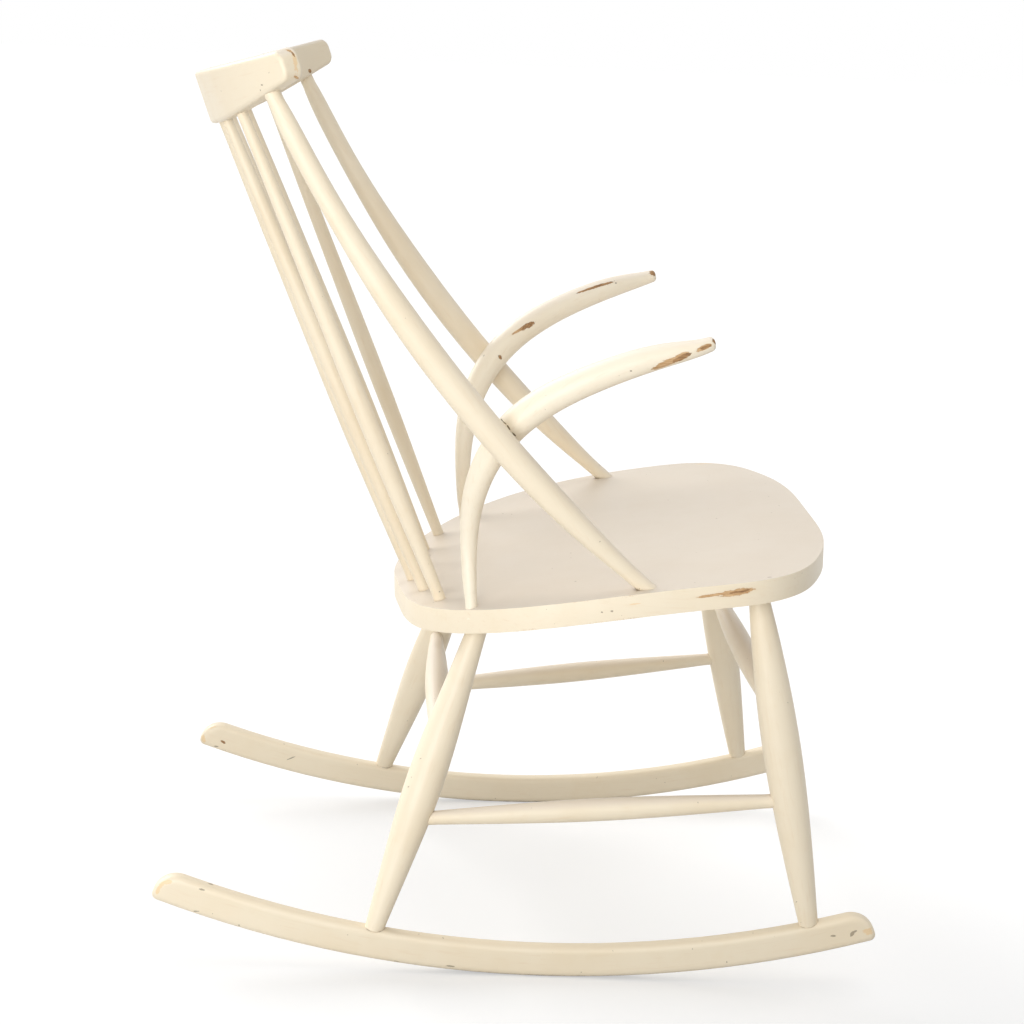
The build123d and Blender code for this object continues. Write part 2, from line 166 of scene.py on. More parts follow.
class NodeBench:
    """Lays out and joins the shader nodes of one material or world."""

    # A Mix node has sockets for every kind of data, and these are the ones for colours
    MIX_SHARE, MIX_FIRST, MIX_SECOND, MIX_RESULT = 0, 6, 7, 2

    def __init__(self, owner: bpy.types.Material | bpy.types.World) -> None:
        """Clear the nodes.

        Args:
            owner: the material or world to work on.
        """
        owner.use_nodes = True
        self.tree = owner.node_tree
        self.tree.nodes.clear()

    def add(
        self, kind: str, sockets: dict[str | int, object] | None = None, **settings: object
    ) -> bpy.types.Node:
        """Add a node.

        Args:
            kind: the node's type.
            sockets: what goes into its inputs, by name or number.
            **settings: the node's own properties.

        Returns:
            The new node.
        """
        node = self.tree.nodes.new(kind)
        for name, value in settings.items():
            setattr(node, name, value)
        for name, value in (sockets or {}).items():
            self.feed(node.inputs[name], value)
        return node

    def feed(self, socket: Socket, value: object) -> None:
        """Join a socket to another one, or set its value.

        Args:
            socket: the input.
            value: an output socket, a number, a colour or a vector.
        """
        if isinstance(value, Socket):
            self.tree.links.new(value, socket)
        elif socket.type == "RGBA":
            socket.default_value = (*value[:3], 1.0)
        else:
            socket.default_value = value

    def calc(self, operation: str, *values: object, clamp: bool = False) -> Socket:
        """Work out one number.

        Args:
            operation: a Math node's operation.
            *values: its inputs.
            clamp: whether the result is kept from 0 to 1.

        Returns:
            The result.
        """
        node = self.add("ShaderNodeMath", operation=operation, use_clamp=clamp)
        for socket, value in zip(node.inputs, values):
            self.feed(socket, value)
        return node.outputs[0]

    def vector(self, operation: str, *values: object) -> bpy.types.Node:
        """Add a Vector Math node.

        Args:
            operation: its operation.
            *values: its inputs.

        Returns:
            The node, whose result is in "Vector" or "Value".
        """
        node = self.add("ShaderNodeVectorMath", operation=operation)
        for socket, value in zip(node.inputs, values):
            self.feed(socket, value)
        return node

    def step(self, value: Socket | float, rise: Rise) -> Socket:
        """Turn a number into a smooth rise or fall.

        Args:
            value: the number to go by.
            rise: where it starts, where it ends and how high it gets.

        Returns:
            The result.
        """
        node = self.add("ShaderNodeMapRange", interpolation_type="SMOOTHSTEP")
        low, high = sorted((rise.low, rise.high))
        start, end = (0.0, rise.top) if rise.low < rise.high else (rise.top, 0.0)
        for socket, number in zip(node.inputs, (value, low, high, start, end)):
            self.feed(socket, number)
        return node.outputs[0]

    def noise(self, place: Socket, pattern: Pattern) -> Socket:
        """Add a noise.

        Args:
            place: the coordinates.
            pattern: what the noise is like.

        Returns:
            A number round 0.5.
        """
        sockets = {
            "Vector": place,
            "Scale": pattern.scale,
            "Detail": pattern.detail,
            "Roughness": pattern.rough,
        }
        return self.add("ShaderNodeTexNoise", sockets).outputs[0]

    def local(
        self, place: Socket, middle: Point, along: Point, size: Point = (1.0, 1.0, 1.0)
    ) -> Socket:
        """Give something that lies on a piece its own coordinates.

        Args:
            place: the piece's coordinates.
            middle: its middle.
            along: the direction of its first axis.
            size: its reach along each of its axes.

        Returns:
            Coordinates from its middle and along its axes, in its own lengths.
        """
        sockets = {
            "Vector": place,
            "Location": middle,
            "Rotation": axes_along(along).to_euler(),
            "Scale": size,
        }
        return self.add("ShaderNodeMapping", sockets, vector_type="TEXTURE").outputs[0]

    def blend(self, share: object, first: object, second: object) -> Socket:
        """Mix two colours.

        Args:
            share: how much of the second.
            first: a colour.
            second: a colour.

        Returns:
            The mixed colour.
        """
        node = self.add("ShaderNodeMix", data_type="RGBA")
        self.feed(node.inputs[self.MIX_SHARE], share)
        self.feed(node.inputs[self.MIX_FIRST], first)
        self.feed(node.inputs[self.MIX_SECOND], second)
        return node.outputs[self.MIX_RESULT]

    def least(self, values: list[Socket]) -> Socket:
        """Find the smallest of several numbers.

        Args:
            values: the numbers.

        Returns:
            The smallest.
        """
        result = values[0]
        for value in values[1:]:
            result = self.calc("MINIMUM", result, value)
        return result


@dataclass(frozen=True)
class BareWood:
    """Beech where the paint has gone."""

    pale: Colour = (0.66, 0.44, 0.24)
    tan: Colour = (0.46, 0.26, 0.11)
    dark: Colour = (0.20, 0.105, 0.045)
    streaks: Pattern = Pattern(90.0, 3.0, 0.6)
    streaks_shown: Rise = Rise(0.36, 0.64)

    def colours(self, bench: NodeBench, fibres: Socket) -> tuple[Socket, Socket]:
        """Lay out the wood's two colours.

        Args:
            bench: the material's nodes.
            fibres: coordinates that follow the fibres.

        Returns:
            The colour of rubbed wood, and that of old knocked wood.
        """
        share = bench.step(bench.noise(fibres, self.streaks), self.streaks_shown)
        return bench.blend(share, self.pale, self.tan), bench.blend(share, self.tan, self.dark)


@dataclass(frozen=True)
class CreamPaint:
    """Old cream paint, brushed on, satin, and worn through in places."""

    cream: Colour = (0.83, 0.73, 0.56)
    yellowed: Colour = (0.78, 0.65, 0.455)
    # Painted light and shade: the colour that faces looking up are blended towards
    top_shading: Colour = (0.80, 0.71, 0.605)
    # Painted shade and dirt: the dark brown that occluded corners are blended towards
    crevice_shade_and_grime: Colour = (0.20, 0.135, 0.075)
    thin: Colour = (0.80, 0.57, 0.30)
    nick: Colour = (0.19, 0.145, 0.09)
    wood: BareWood = BareWood()

    # The coat: its drift of colour, its brush strokes, and painted light and shade on its upward
    # faces
    drift: Pattern = Pattern(9.0, 3.0, 0.55)
    drift_shown: Rise = Rise(0.42, 0.72, 0.45)
    patches: Pattern = Pattern(45.0, 3.0, 0.6)
    patches_shown: Rise = Rise(0.50, 0.75, 0.22)
    strokes: Pattern = Pattern(26.0, 3.0, 0.6)
    strokes_shown: Rise = Rise(0.52, 0.80, 0.16)
    strokes_stretch: Point = (1.0, 12.0, 12.0)
    top_shading_rise: Rise = Rise(0.35, 0.95, 0.75)
    softness: float = 0.0
    softness_samples: int = 8

    # Painted shade and dirt in the joints and inside corners, where they are occluded
    crevice_reach: float = 0.007
    crevice_samples: int = 8
    crevice_shade_rise: Rise = Rise(0.62, 0.18, 0.80)
    dirt: Pattern = Pattern(130.0, 3.0, 0.6)
    dirt_shown: Rise = Rise(0.25, 0.6)

    # Bare edges
    edge_reach: float = 0.0035
    edge_samples: int = 6
    edge_turn: Rise = Rise(0.010, 0.030)
    edge_wear: Pattern = Pattern(16.0, 2.0, 0.5)
    edge_wear_shown: Rise = Rise(0.58, 0.72)
    chips: Pattern = Pattern(420.0, 3.0, 0.7)
    chips_shown: Rise = Rise(0.50, 0.56)

    # Worn places and specks
    crumbs: Pattern = Pattern(250.0, 5.0, 0.72)
    splinters: Pattern = Pattern(40.0, 4.0, 0.65)
    round_mark: Rise = Rise(1.9, 1.0)
    inside_mark: Rise = Rise(1.02, 0.90)
    halo_strength: float = 0.35
    thinned_strength: float = 0.7
    nick_strength: float = 0.65
    specks: Pattern = Pattern(210.0, 1.0, 0.5)
    specks_shown: Rise = Rise(0.790, 0.815, 0.55)

    # Sheen and relief
    roughness: float = 0.32
    handled: Pattern = Pattern(22.0, 3.0, 0.6)
    handled_roughness: float = 0.20
    bare_roughness: float = 0.28
    peel: Pattern = Pattern(700.0, 2.0, 0.5)
    peel_height: float = 0.00003
    strokes_height: float = 0.00010
    coat_thickness: float = 0.00022

    def material(self, name: str, grain: Grain, marks: tuple[Mark, ...]) -> bpy.types.Material:
        """Make the paint of one piece.

        Args:
            name: the piece's name.
            grain: how the brush ran on it.
            marks: the places where it is worn.

        Returns:
            The material.
        """
        made = bpy.data.materials.new(f"cream_paint_{name}")
        bench = NodeBench(made)
        place = bench.add("ShaderNodeTexCoord").outputs["Object"]
        fibres = self._fibres(bench, place, grain)
        strokes = bench.noise(fibres, self.strokes)
        soft = self._soft_normal(bench)
        colour = self._coat(bench, place, strokes, soft)
        colour = self._crevice_shade_and_dirt(bench, place, colour)
        colour, gone = self._wear(bench, place, fibres, marks, colour)
        sockets = {
            "Base Color": colour,
            "Roughness": self._dullness(bench, place, gone),
            "Normal": self._relief(bench, place, strokes, gone, soft),
        }
        shader = bench.add("ShaderNodeBsdfPrincipled", sockets)
        bench.add("ShaderNodeOutputMaterial", {"Surface": shader.outputs[0]})
        return made

    def _fibres(self, bench: NodeBench, place: Socket, grain: Grain) -> Socket:
        """Turn the piece's coordinates so that the first runs along the grain, and stretch them.

        Args:
            bench: the material's nodes.
            place: the piece's coordinates.
            grain: how the grain runs.

        Returns:
            Coordinates in which a noise becomes streaks along the grain.
        """
        turned = bench.local(place, grain.place, grain.along)
        if grain.bent:
            parts = bench.add("ShaderNodeSeparateXYZ", {"Vector": turned}).outputs
            angle = bench.calc("ARCTAN2", parts["Y"], parts["Z"])
            squares = [bench.calc("MULTIPLY", parts[axis], parts[axis]) for axis in "YZ"]
            reach = bench.calc("SQRT", bench.calc("ADD", *squares))
            arc = bench.calc("MULTIPLY", angle, grain.radius)
            sockets = {"X": arc, "Y": reach, "Z": parts["X"]}
            turned = bench.add("ShaderNodeCombineXYZ", sockets).outputs[0]
        return bench.vector("MULTIPLY", turned, self.strokes_stretch).outputs["Vector"]

    def _soft_normal(self, bench: NodeBench) -> Socket:
        """Lay out the surface's normal, rounded at the edges where the paint is soft there.

        Args:
            bench: the material's nodes.

        Returns:
            The normal.
        """
        if not self.softness:
            return bench.add("ShaderNodeNewGeometry").outputs["Normal"]
        sockets = {"Radius": self.softness}
        return bench.add("ShaderNodeBevel", sockets, samples=self.softness_samples).outputs[0]

    def _coat(self, bench: NodeBench, place: Socket, strokes: Socket, soft: Socket) -> Socket:
        """Lay out the colour of the paint, with painted light and shade on its upward faces.

        Args:
            bench: the material's nodes.
            place: the piece's coordinates.
            strokes: the brush strokes.
            soft: the normal with the paint's own rounding.

        Returns:
            The colour.
        """
        drift = bench.step(bench.noise(place, self.drift), self.drift_shown)
        patches = bench.step(bench.noise(place, self.patches), self.patches_shown)
        upward = bench.add("ShaderNodeSeparateXYZ", {"Vector": soft}).outputs["Z"]
        colour = bench.blend(drift, self.cream, self.yellowed)
        colour = bench.blend(patches, colour, self.yellowed)
        colour = bench.blend(bench.step(strokes, self.strokes_shown), colour, self.wood.pale)
        # Painted light and shade: faces that look up take another colour, as the light falls on
        # tops
        return bench.blend(bench.step(upward, self.top_shading_rise), colour, self.top_shading)

    def _crevice_shade_and_dirt(self, bench: NodeBench, place: Socket, colour: Socket) -> Socket:
        """Darken the joints and inside corners where they are occluded: painted shade, broken up by
        patchy dirt.

        Args:
            bench: the material's nodes.
            place: the piece's coordinates.
            colour: the paint's colour.

        Returns:
            The colour with the painted shade and dirt.
        """
        sockets = {"Distance": self.crevice_reach}
        # Painted shade: the occlusion marks where shade falls in the joints and corners
        near = bench.add("ShaderNodeAmbientOcclusion", sockets, samples=self.crevice_samples)
        occluded_shade = bench.step(near.outputs["AO"], self.crevice_shade_rise)
        dirt = bench.step(bench.noise(place, self.dirt), self.dirt_shown)
        return bench.blend(bench.calc("MULTIPLY", occluded_shade, dirt), colour, self.crevice_shade_and_grime)

    def _edges(self, bench: NodeBench, place: Socket) -> Socket:
        """Find where the edges have lost their paint.

        Args:
            bench: the material's nodes.
            place: the piece's coordinates.

        Returns:
            1 on bare edges and 0 elsewhere.
        """
        sockets = {"Radius": self.edge_reach}
        rounded = bench.add("ShaderNodeBevel", sockets, samples=self.edge_samples).outputs[0]
        flat = bench.add("ShaderNodeNewGeometry").outputs["Normal"]
        alike = bench.vector("DOT_PRODUCT", rounded, flat).outputs["Value"]
        turn = bench.step(bench.calc("SUBTRACT", 1.0, alike), self.edge_turn)
        rare = bench.step(bench.noise(place, self.edge_wear), self.edge_wear_shown)
        chips = bench.step(bench.noise(place, self.chips), self.chips_shown)
        return bench.calc("MULTIPLY", turn, bench.calc("MULTIPLY", rare, chips))

    def _wear(
        self,
        bench: NodeBench,
        place: Socket,
        fibres: Socket,
        marks: tuple[Mark, ...],
        colour: Socket,
    ) -> tuple[Socket, Socket]:
        """Wear the paint away on the edges and in the marked places.

        Args:
            bench: the material's nodes.
            place: the piece's coordinates.
            fibres: coordinates that follow the fibres.
            marks: the worn places.
            colour: the paint's colour.

        Returns:
            The colour with the wear, and 1 where the paint has gone.
        """
        crumbs = bench.noise(place, self.crumbs)
        splinters = bench.noise(fibres, self.splinters)
        ragged = bench.calc("MULTIPLY", bench.calc("ADD", crumbs, splinters), 0.5)
        rims = {kind: ragged for kind in (Wear.THINNED, Wear.RUBBED, Wear.KNOCKED)}
        rims |= {kind: crumbs for kind in (Wear.NICK, Wear.SEAM)}
        spans = {kind: self._span(bench, place, marks, kind, rims[kind]) for kind in Wear}
        inside = {kind: bench.step(span, self.inside_mark) for kind, span in spans.items()}
        halo = bench.step(spans[Wear.RUBBED], self.round_mark)
        specks = bench.step(bench.noise(place, self.specks), self.specks_shown)
        nicks = bench.calc("MULTIPLY", inside[Wear.NICK], self.nick_strength)
        dark = bench.calc("MAXIMUM", bench.calc("MAXIMUM", nicks, specks), inside[Wear.SEAM])
        bare = bench.calc("MAXIMUM", self._edges(bench, place), inside[Wear.RUBBED])
        thinned = bench.calc("MULTIPLY", inside[Wear.THINNED], self.thinned_strength)

        rubbed, knocked = self.wood.colours(bench, fibres)
        halo = bench.calc("MULTIPLY", halo, self.halo_strength)
        colour = bench.blend(halo, colour, self.yellowed)
        colour = bench.blend(thinned, colour, self.thin)
        colour = bench.blend(bare, colour, rubbed)
        colour = bench.blend(inside[Wear.KNOCKED], colour, knocked)
        colour = bench.blend(dark, colour, self.nick)
        gone = bench.calc("MAXIMUM", bench.calc("MAXIMUM", bare, inside[Wear.KNOCKED]), dark)
        return colour, gone

    def _span(
        self,
        bench: NodeBench,
        place: Socket,
        marks: tuple[Mark, ...],
        kind: Wear,
        ragged: Socket,
    ) -> Socket | float:
        """Measure how far a point is from the nearest worn place of one kind.

        Args:
            bench: the material's nodes.
            place: the piece's coordinates.
            marks: all the marks of the piece.
            kind: the kind to find.
            ragged: a noise that breaks up the rims.

        Returns:
            0 in the middle of a mark, 1 on its rim, and more outside it.
        """
        spans = [
            bench.vector(
                "LENGTH",
                bench.local(place, mark.place, mark.along, (mark.length, mark.width, mark.width)),
            ).outputs["Value"]
            for mark in marks
            if mark.kind is kind
        ]
        if not spans:
            return NO_MARK
        shift = bench.calc("MULTIPLY", bench.calc("SUBTRACT", ragged, 0.5), kind.raggedness * 2)
        return bench.calc("ADD", bench.least(spans), shift)

    def _dullness(self, bench: NodeBench, place: Socket, gone: Socket) -> Socket:
        """Lay out the roughness: satin paint with handled patches, and dull bare wood.

        Args:
            bench: the material's nodes.
            place: the piece's coordinates.
            gone: 1 where the paint has gone.

        Returns:
            The roughness.
        """
        handled = bench.calc("MULTIPLY", bench.noise(place, self.handled), self.handled_roughness)
        paint = bench.calc("ADD", self.roughness, handled)
        bare = bench.calc("MULTIPLY", gone, self.bare_roughness)
        return bench.calc("ADD", paint, bare, clamp=True)

    def _relief(
        self, bench: NodeBench, place: Socket, strokes: Socket, gone: Socket, soft: Socket
    ) -> Socket:
        """Lay out the surface's relief: brush strokes, a slight orange peel, and the lost paint.

        Args:
            bench: the material's nodes.
            place: the piece's coordinates.
            strokes: the brush strokes.
            gone: 1 where the paint has gone.
            soft: the normal with the paint's own rounding.

        Returns:
            The normal.
        """
        peel = bench.calc("MULTIPLY", bench.noise(place, self.peel), self.peel_height)
        height = bench.calc("ADD", bench.calc("MULTIPLY", strokes, self.strokes_height), peel)
        lost = bench.calc("MULTIPLY", gone, self.coat_thickness)
        height = bench.calc("SUBTRACT", height, lost)
        sockets = {"Strength": 1.0, "Distance": 1.0, "Height": height, "Normal": soft}
        return bench.add("ShaderNodeBump", sockets).outputs[0]


def dress(
    name: str,
    paint: CreamPaint,
    grain: Grain,
    marks: tuple[Mark, ...] = (),
    piece: bpy.types.Object | None = None,
) -> None:
    """Give a piece its paint.

    Args:
        name: the piece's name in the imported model.
        paint: the paint.
        grain: how the brush ran on it.
        marks: where it is worn.
        piece: the piece that is shown, where it isn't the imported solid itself.
    """
    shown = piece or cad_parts[name]
    shown.data.materials.clear()
    shown.data.materials.append(paint.material(name, grain, marks))
    log.info("%s: painted, %d worn places", shown.name, len(marks))


def place_piece(name: str, work: bmesh.types.BMesh, *stands_for: str) -> bpy.types.Object:
    """Turn finished mesh work into a smooth piece of the chair.

    Args:
        name: the piece's name.
        work: its mesh, which is used up.
        *stands_for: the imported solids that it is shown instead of.

    Returns:
        The piece.
    """
    bmesh.ops.recalc_face_normals(work, faces=work.faces)
    for face in work.faces:
        face.smooth = True
    mesh = bpy.data.meshes.new(name)
    work.to_mesh(mesh)
    work.free()
    piece = bpy.data.objects.new(name, mesh)
    bpy.context.scene.collection.objects.link(piece)
    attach(piece, MAIN_BODY)
    if stands_for:
        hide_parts(*stands_for)
    log.info("%s: built, %d faces", name, len(mesh.polygons))
    return piece


def solid_work(name: str) -> bmesh.types.BMesh:
    """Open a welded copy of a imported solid.

    Args:
        name: the solid's name.

    Returns:
        Its mesh, as drawn before the chair was rolled to its balance.
    """
    work = bmesh.new()
    work.from_mesh(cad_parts[name].data)
    bmesh.ops.remove_doubles(work, verts=work.verts, dist=WELD)
    bmesh.ops.transform(work, matrix=TO_REST.inverted(), verts=work.verts)
    return work


def thicken(work: bmesh.types.BMesh, face: bmesh.types.BMFace, push: Vector) -> None:
    """Make a slab of a flat face.

    Args:
        work: the mesh, which holds this face alone.
        face: the face.
        push: from the face to the slab's other side.
    """
    made = bmesh.ops.extrude_face_region(work, geom=[face], use_keep_orig=True)["geom"]
    corners = [part for part in made if isinstance(part, bmesh.types.BMVert)]
    bmesh.ops.translate(work, vec=push, verts=corners)
    bmesh.ops.recalc_face_normals(work, faces=work.faces)


def round_edges(
    work: bmesh.types.BMesh, edges: list[bmesh.types.BMEdge], radius: float, segments: int
) -> None:
    """Round some edges.

    Args:
        work: the mesh.
        edges: the edges.
        radius: how much.
        segments: in how many steps.
    """
    bmesh.ops.bevel(
        work,
        geom=edges,
        offset=radius,
        offset_type="OFFSET",
        affect="EDGES",
        segments=segments,
        profile=0.5,
        material=-1,
        clamp_overlap=True,
    )


def broad_faces(work: bmesh.types.BMesh) -> list[bmesh.types.BMFace]:
    """Find the two broad faces of a slab.

    Args:
        work: the slab.

    Returns:
        Its two largest faces.
    """
    return sorted(work.faces, key=bmesh.types.BMFace.calc_area)[-2:]


def straight_grain(node: str) -> Grain:
    """Find the way in which a long piece runs.

    Args:
        node: the solid's name.

    Returns:
        Its grain, along its longest axis.
    """
    points = np.array([corner.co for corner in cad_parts[node].data.vertices])
    middle = points.mean(axis=0)
    longest = np.linalg.svd((points - middle)[::GRAIN_STRIDE], full_matrices=False)[2][0]
    return Grain(tuple(map(float, middle)), tuple(map(float, longest)))


@dataclass
class Runners:
    """The two curved bars that the chair rocks on, and the feet that stand in them."""

    paint: CreamPaint
    bend_centre: Point = (0.0, -0.0282, 1.142)
    bend_radius: float = 1.13
    thickness: float = 0.018
    packed_edge: float = 0.0027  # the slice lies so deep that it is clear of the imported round
    outline_step: float = 0.0005
    edge: float = 0.0052
    edge_segments: int = 6
    flank_rim: float = 0.0006
    foot_radius: float = 0.0099
    foot_end_radius: float = 0.0078
    foot_segments: int = 48
    foot_tenon: float = 0.016
    foot_tip: float = 0.0002
    foot_sunk: float = 0.0045

    def dress(self) -> None:
        """Build and paint both runners, and the ends of the legs in them."""
        grain = Grain(self.bend_centre, (1.0, 0.0, 0.0), bent=True, radius=self.bend_radius)
        for side in Side:
            name = f"runner_{side.value}"
            dress(name, self.paint, grain, self._marks(side), self._runner(name))
            for end in ("front", "rear"):
                self._foot(f"{end}_leg_{side.value}")

    def _runner(self, name: str) -> bpy.types.Object:
        """Build a runner with well rounded edges from a slice beside the inner flank.

        Args:
            name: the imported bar's name.

        Returns:
            The runner.
        """
        work = solid_work(name)
        inner = [face for face in work.faces if face.normal.x * face.verts[0].co.x < 0.0]
        flank = max(inner, key=bmesh.types.BMFace.calc_area)
        across, start = flank.normal.copy(), flank.verts[0].co.copy()
        bmesh.ops.bisect_plane(
            work,
            geom=[*work.verts, *work.edges, *work.faces],
            plane_co=start - across * self.packed_edge,
            plane_no=across,
            clear_inner=True,
            clear_outer=True,
        )
        bmesh.ops.remove_doubles(work, verts=work.verts, dist=self.outline_step)
        bmesh.ops.translate(work, vec=across * self.packed_edge, verts=work.verts)
        silhouette = bmesh.ops.edgeloop_fill(work, edges=work.edges)["faces"][0]
        thicken(work, silhouette, across * -self.thickness)
        rims = [edge for broad in broad_faces(work) for edge in broad.edges]
        round_edges(work, rims, self.edge, self.edge_segments)
        bmesh.ops.inset_individual(work, faces=broad_faces(work), thickness=self.flank_rim)
        bmesh.ops.transform(work, matrix=TO_REST, verts=work.verts)
        return place_piece(f"{name}_rounded", work, name)

    def _foot(self, leg: str) -> None:
        """Carry a leg's foot down into the rounded runner.

        Args:
            leg: the leg's name.
        """
        grain = straight_grain(leg)
        down = Vector(grain.along)
        down *= -1.0 if down.z > 0.0 else 1.0
        reach = [(corner.co.dot(down), corner.co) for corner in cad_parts[leg].data.vertices]
        lowest = max(span for span, _ in reach)
        tip = [place for span, place in reach if span > lowest - self.foot_tip]
        end = sum(tip, Vector()) / len(tip)
        middle = end - down * (self.foot_tenon - self.foot_sunk / 2)
        work = bmesh.new()
        turned = down.to_track_quat("Z", "Y").to_matrix().to_4x4()
        bmesh.ops.create_cone(
            work,
            cap_ends=True,
            segments=self.foot_segments,
            radius1=self.foot_radius,
            radius2=self.foot_end_radius,
            depth=self.foot_sunk,
            matrix=Matrix.Translation(middle) @ turned,
        )
        dress(leg, self.paint, grain, piece=place_piece(f"{leg}_foot", work))

    def _marks(self, side: Side) -> tuple[Mark, ...]:
        """List the worn places of one runner.

        Args:
            side: which runner.

        Returns:
            Its marks.
        """
        if side is Side.LEFT:
            return (
                Mark(Wear.THINNED, (0.2163, 0.3690, 0.0800), 0.007, 0.0026, (0.0, 0.35, 0.94)),
                Mark(Wear.THINNED, (0.2175, 0.3610, 0.0935), 0.009, 0.0014, (0.0, -0.93, 0.36)),
                Mark(Wear.KNOCKED, (0.2162, 0.3440, 0.0757), 0.0036, 0.0016, (0.0, -0.8, -0.6)),
                Mark(Wear.NICK, (0.2162, 0.3530, 0.0700), 0.0030, 0.0010),
                Mark(Wear.NICK, (0.2185, 0.2600, 0.0560), 0.0060, 0.0007, (0.0, -0.9, 0.4)),
                Mark(Wear.THINNED, (0.2345, 0.3580, 0.0920), 0.0090, 0.0016, (0.0, -1.0, 0.05)),
                Mark(Wear.NICK, (0.2360, 0.2700, 0.0520), 0.0030, 0.0010, (0.0, -1.0, -0.2)),
                Mark(Wear.RUBBED, (0.2420, 0.0900, 0.0080), 0.0200, 0.0012, (0.0, -1.0, -0.1)),
                Mark(Wear.KNOCKED, (0.2550, -0.3560, 0.0660), 0.0050, 0.0014, (0.0, -1.0, 0.5)),
            )
        return (
            Mark(Wear.THINNED, (-0.2337, 0.3575, 0.0925), 0.0065, 0.0023, (0.0, -1.0, 0.05)),
            Mark(Wear.THINNED, (-0.2337, 0.3625, 0.0895), 0.0042, 0.0019, (0.0, 0.6, -0.8)),
            Mark(Wear.THINNED, (-0.2337, 0.3662, 0.0835), 0.0044, 0.0020, (0.0, -0.35, 0.94)),
            Mark(Wear.THINNED, (-0.2345, 0.3400, 0.0618), 0.0320, 0.0008, (0.0, -0.95, -0.30)),
            Mark(Wear.NICK, (-0.2235, 0.3136, 0.0865), 0.0030, 0.0015),
            Mark(Wear.NICK, (-0.2349, 0.3218, 0.0856), 0.0030, 0.0011, (0.0, -1.0, -0.2)),
            Mark(Wear.NICK, (-0.2347, 0.3278, 0.0611), 0.0032, 0.0008, (0.0, -1.0, 0.1)),
            Mark(Wear.NICK, (-0.2360, 0.2835, 0.0470), 0.0011, 0.0010),
            Mark(Wear.NICK, (-0.2404, 0.1210, 0.0120), 0.0052, 0.0009, (0.0, -1.0, -0.15)),
            Mark(Wear.NICK, (-0.2423, 0.0652, 0.0092), 0.0042, 0.0010, (0.0, -1.0, -0.05)),
            Mark(Wear.NICK, (-0.2537, -0.3283, 0.0575), 0.0032, 0.0011, (0.0, -1.0, 0.1)),
            Mark(Wear.NICK, (-0.2543, -0.3480, 0.0605), 0.0030, 0.0020, (0.0, -0.4, 0.9)),
            Mark(Wear.NICK, (-0.2543, -0.3510, 0.0635), 0.0022, 0.0012, (0.0, -0.8, 0.5)),
            Mark(Wear.NICK, (-0.2500, -0.2730, 0.0330), 0.0016, 0.0010),
            Mark(Wear.THINNED, (-0.2547, -0.3640, 0.0640), 0.0048, 0.0036),
        )


@dataclass
class Underframe:
    """The four legs and the four stretchers between them."""

    paint: CreamPaint
    names: tuple[str, ...] = (
        "front_leg_left",
        "front_leg_right",
        "rear_leg_left",
        "rear_leg_right",
        "front_stretcher",
        "rear_stretcher",
        "side_stretcher_left",
        "side_stretcher_right",
    )

    def dress(self) -> None:
        """Paint the legs and the stretchers."""
        for name in self.names:
            dress(name, self.paint, straight_grain(name))


